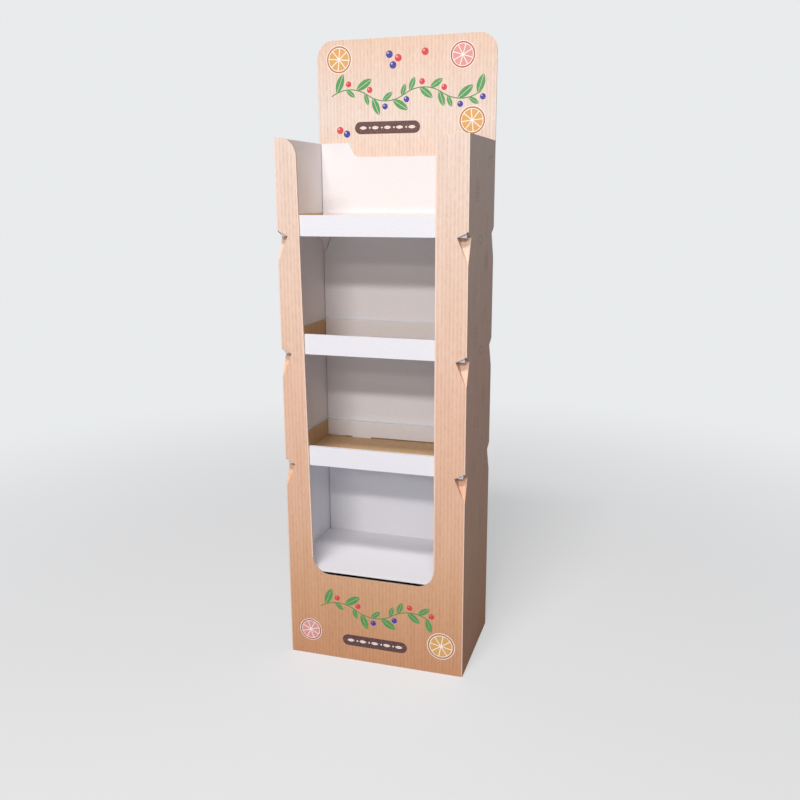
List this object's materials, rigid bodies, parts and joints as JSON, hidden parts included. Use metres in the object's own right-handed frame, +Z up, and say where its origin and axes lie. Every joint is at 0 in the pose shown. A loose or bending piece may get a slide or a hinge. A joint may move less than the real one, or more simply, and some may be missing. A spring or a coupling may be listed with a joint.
{
  "type": "cardboard display stand",
  "caption": "Free-standing corrugated floor display: an open-fronted sleeve with pushed-in corner ledges that carry shallow trays over a base shelf, under a rounded header card.",
  "frame": {"origin": "on the floor, under the middle of the sleeve", "axes": "+X to the right as seen from the front, +Y to the back, +Z up"},
  "size_m": [0.402, 0.25, 1.346],
  "materials": {
    "printed_board": "matt kraft print outside, white liner inside",
    "white_board": "matt white liner",
    "tray_board": "white liner outside, plain kraft inside"
  },
  "bodies": {
    "root": {"body_sleeve": "printed_board", "header_card": "printed_board", "back_liner": "white_board", "base_shelf": "white_board", "upper_tray": "tray_board", "middle_tray": "tray_board", "lower_tray": "tray_board"}
  },
  "joints": []
}
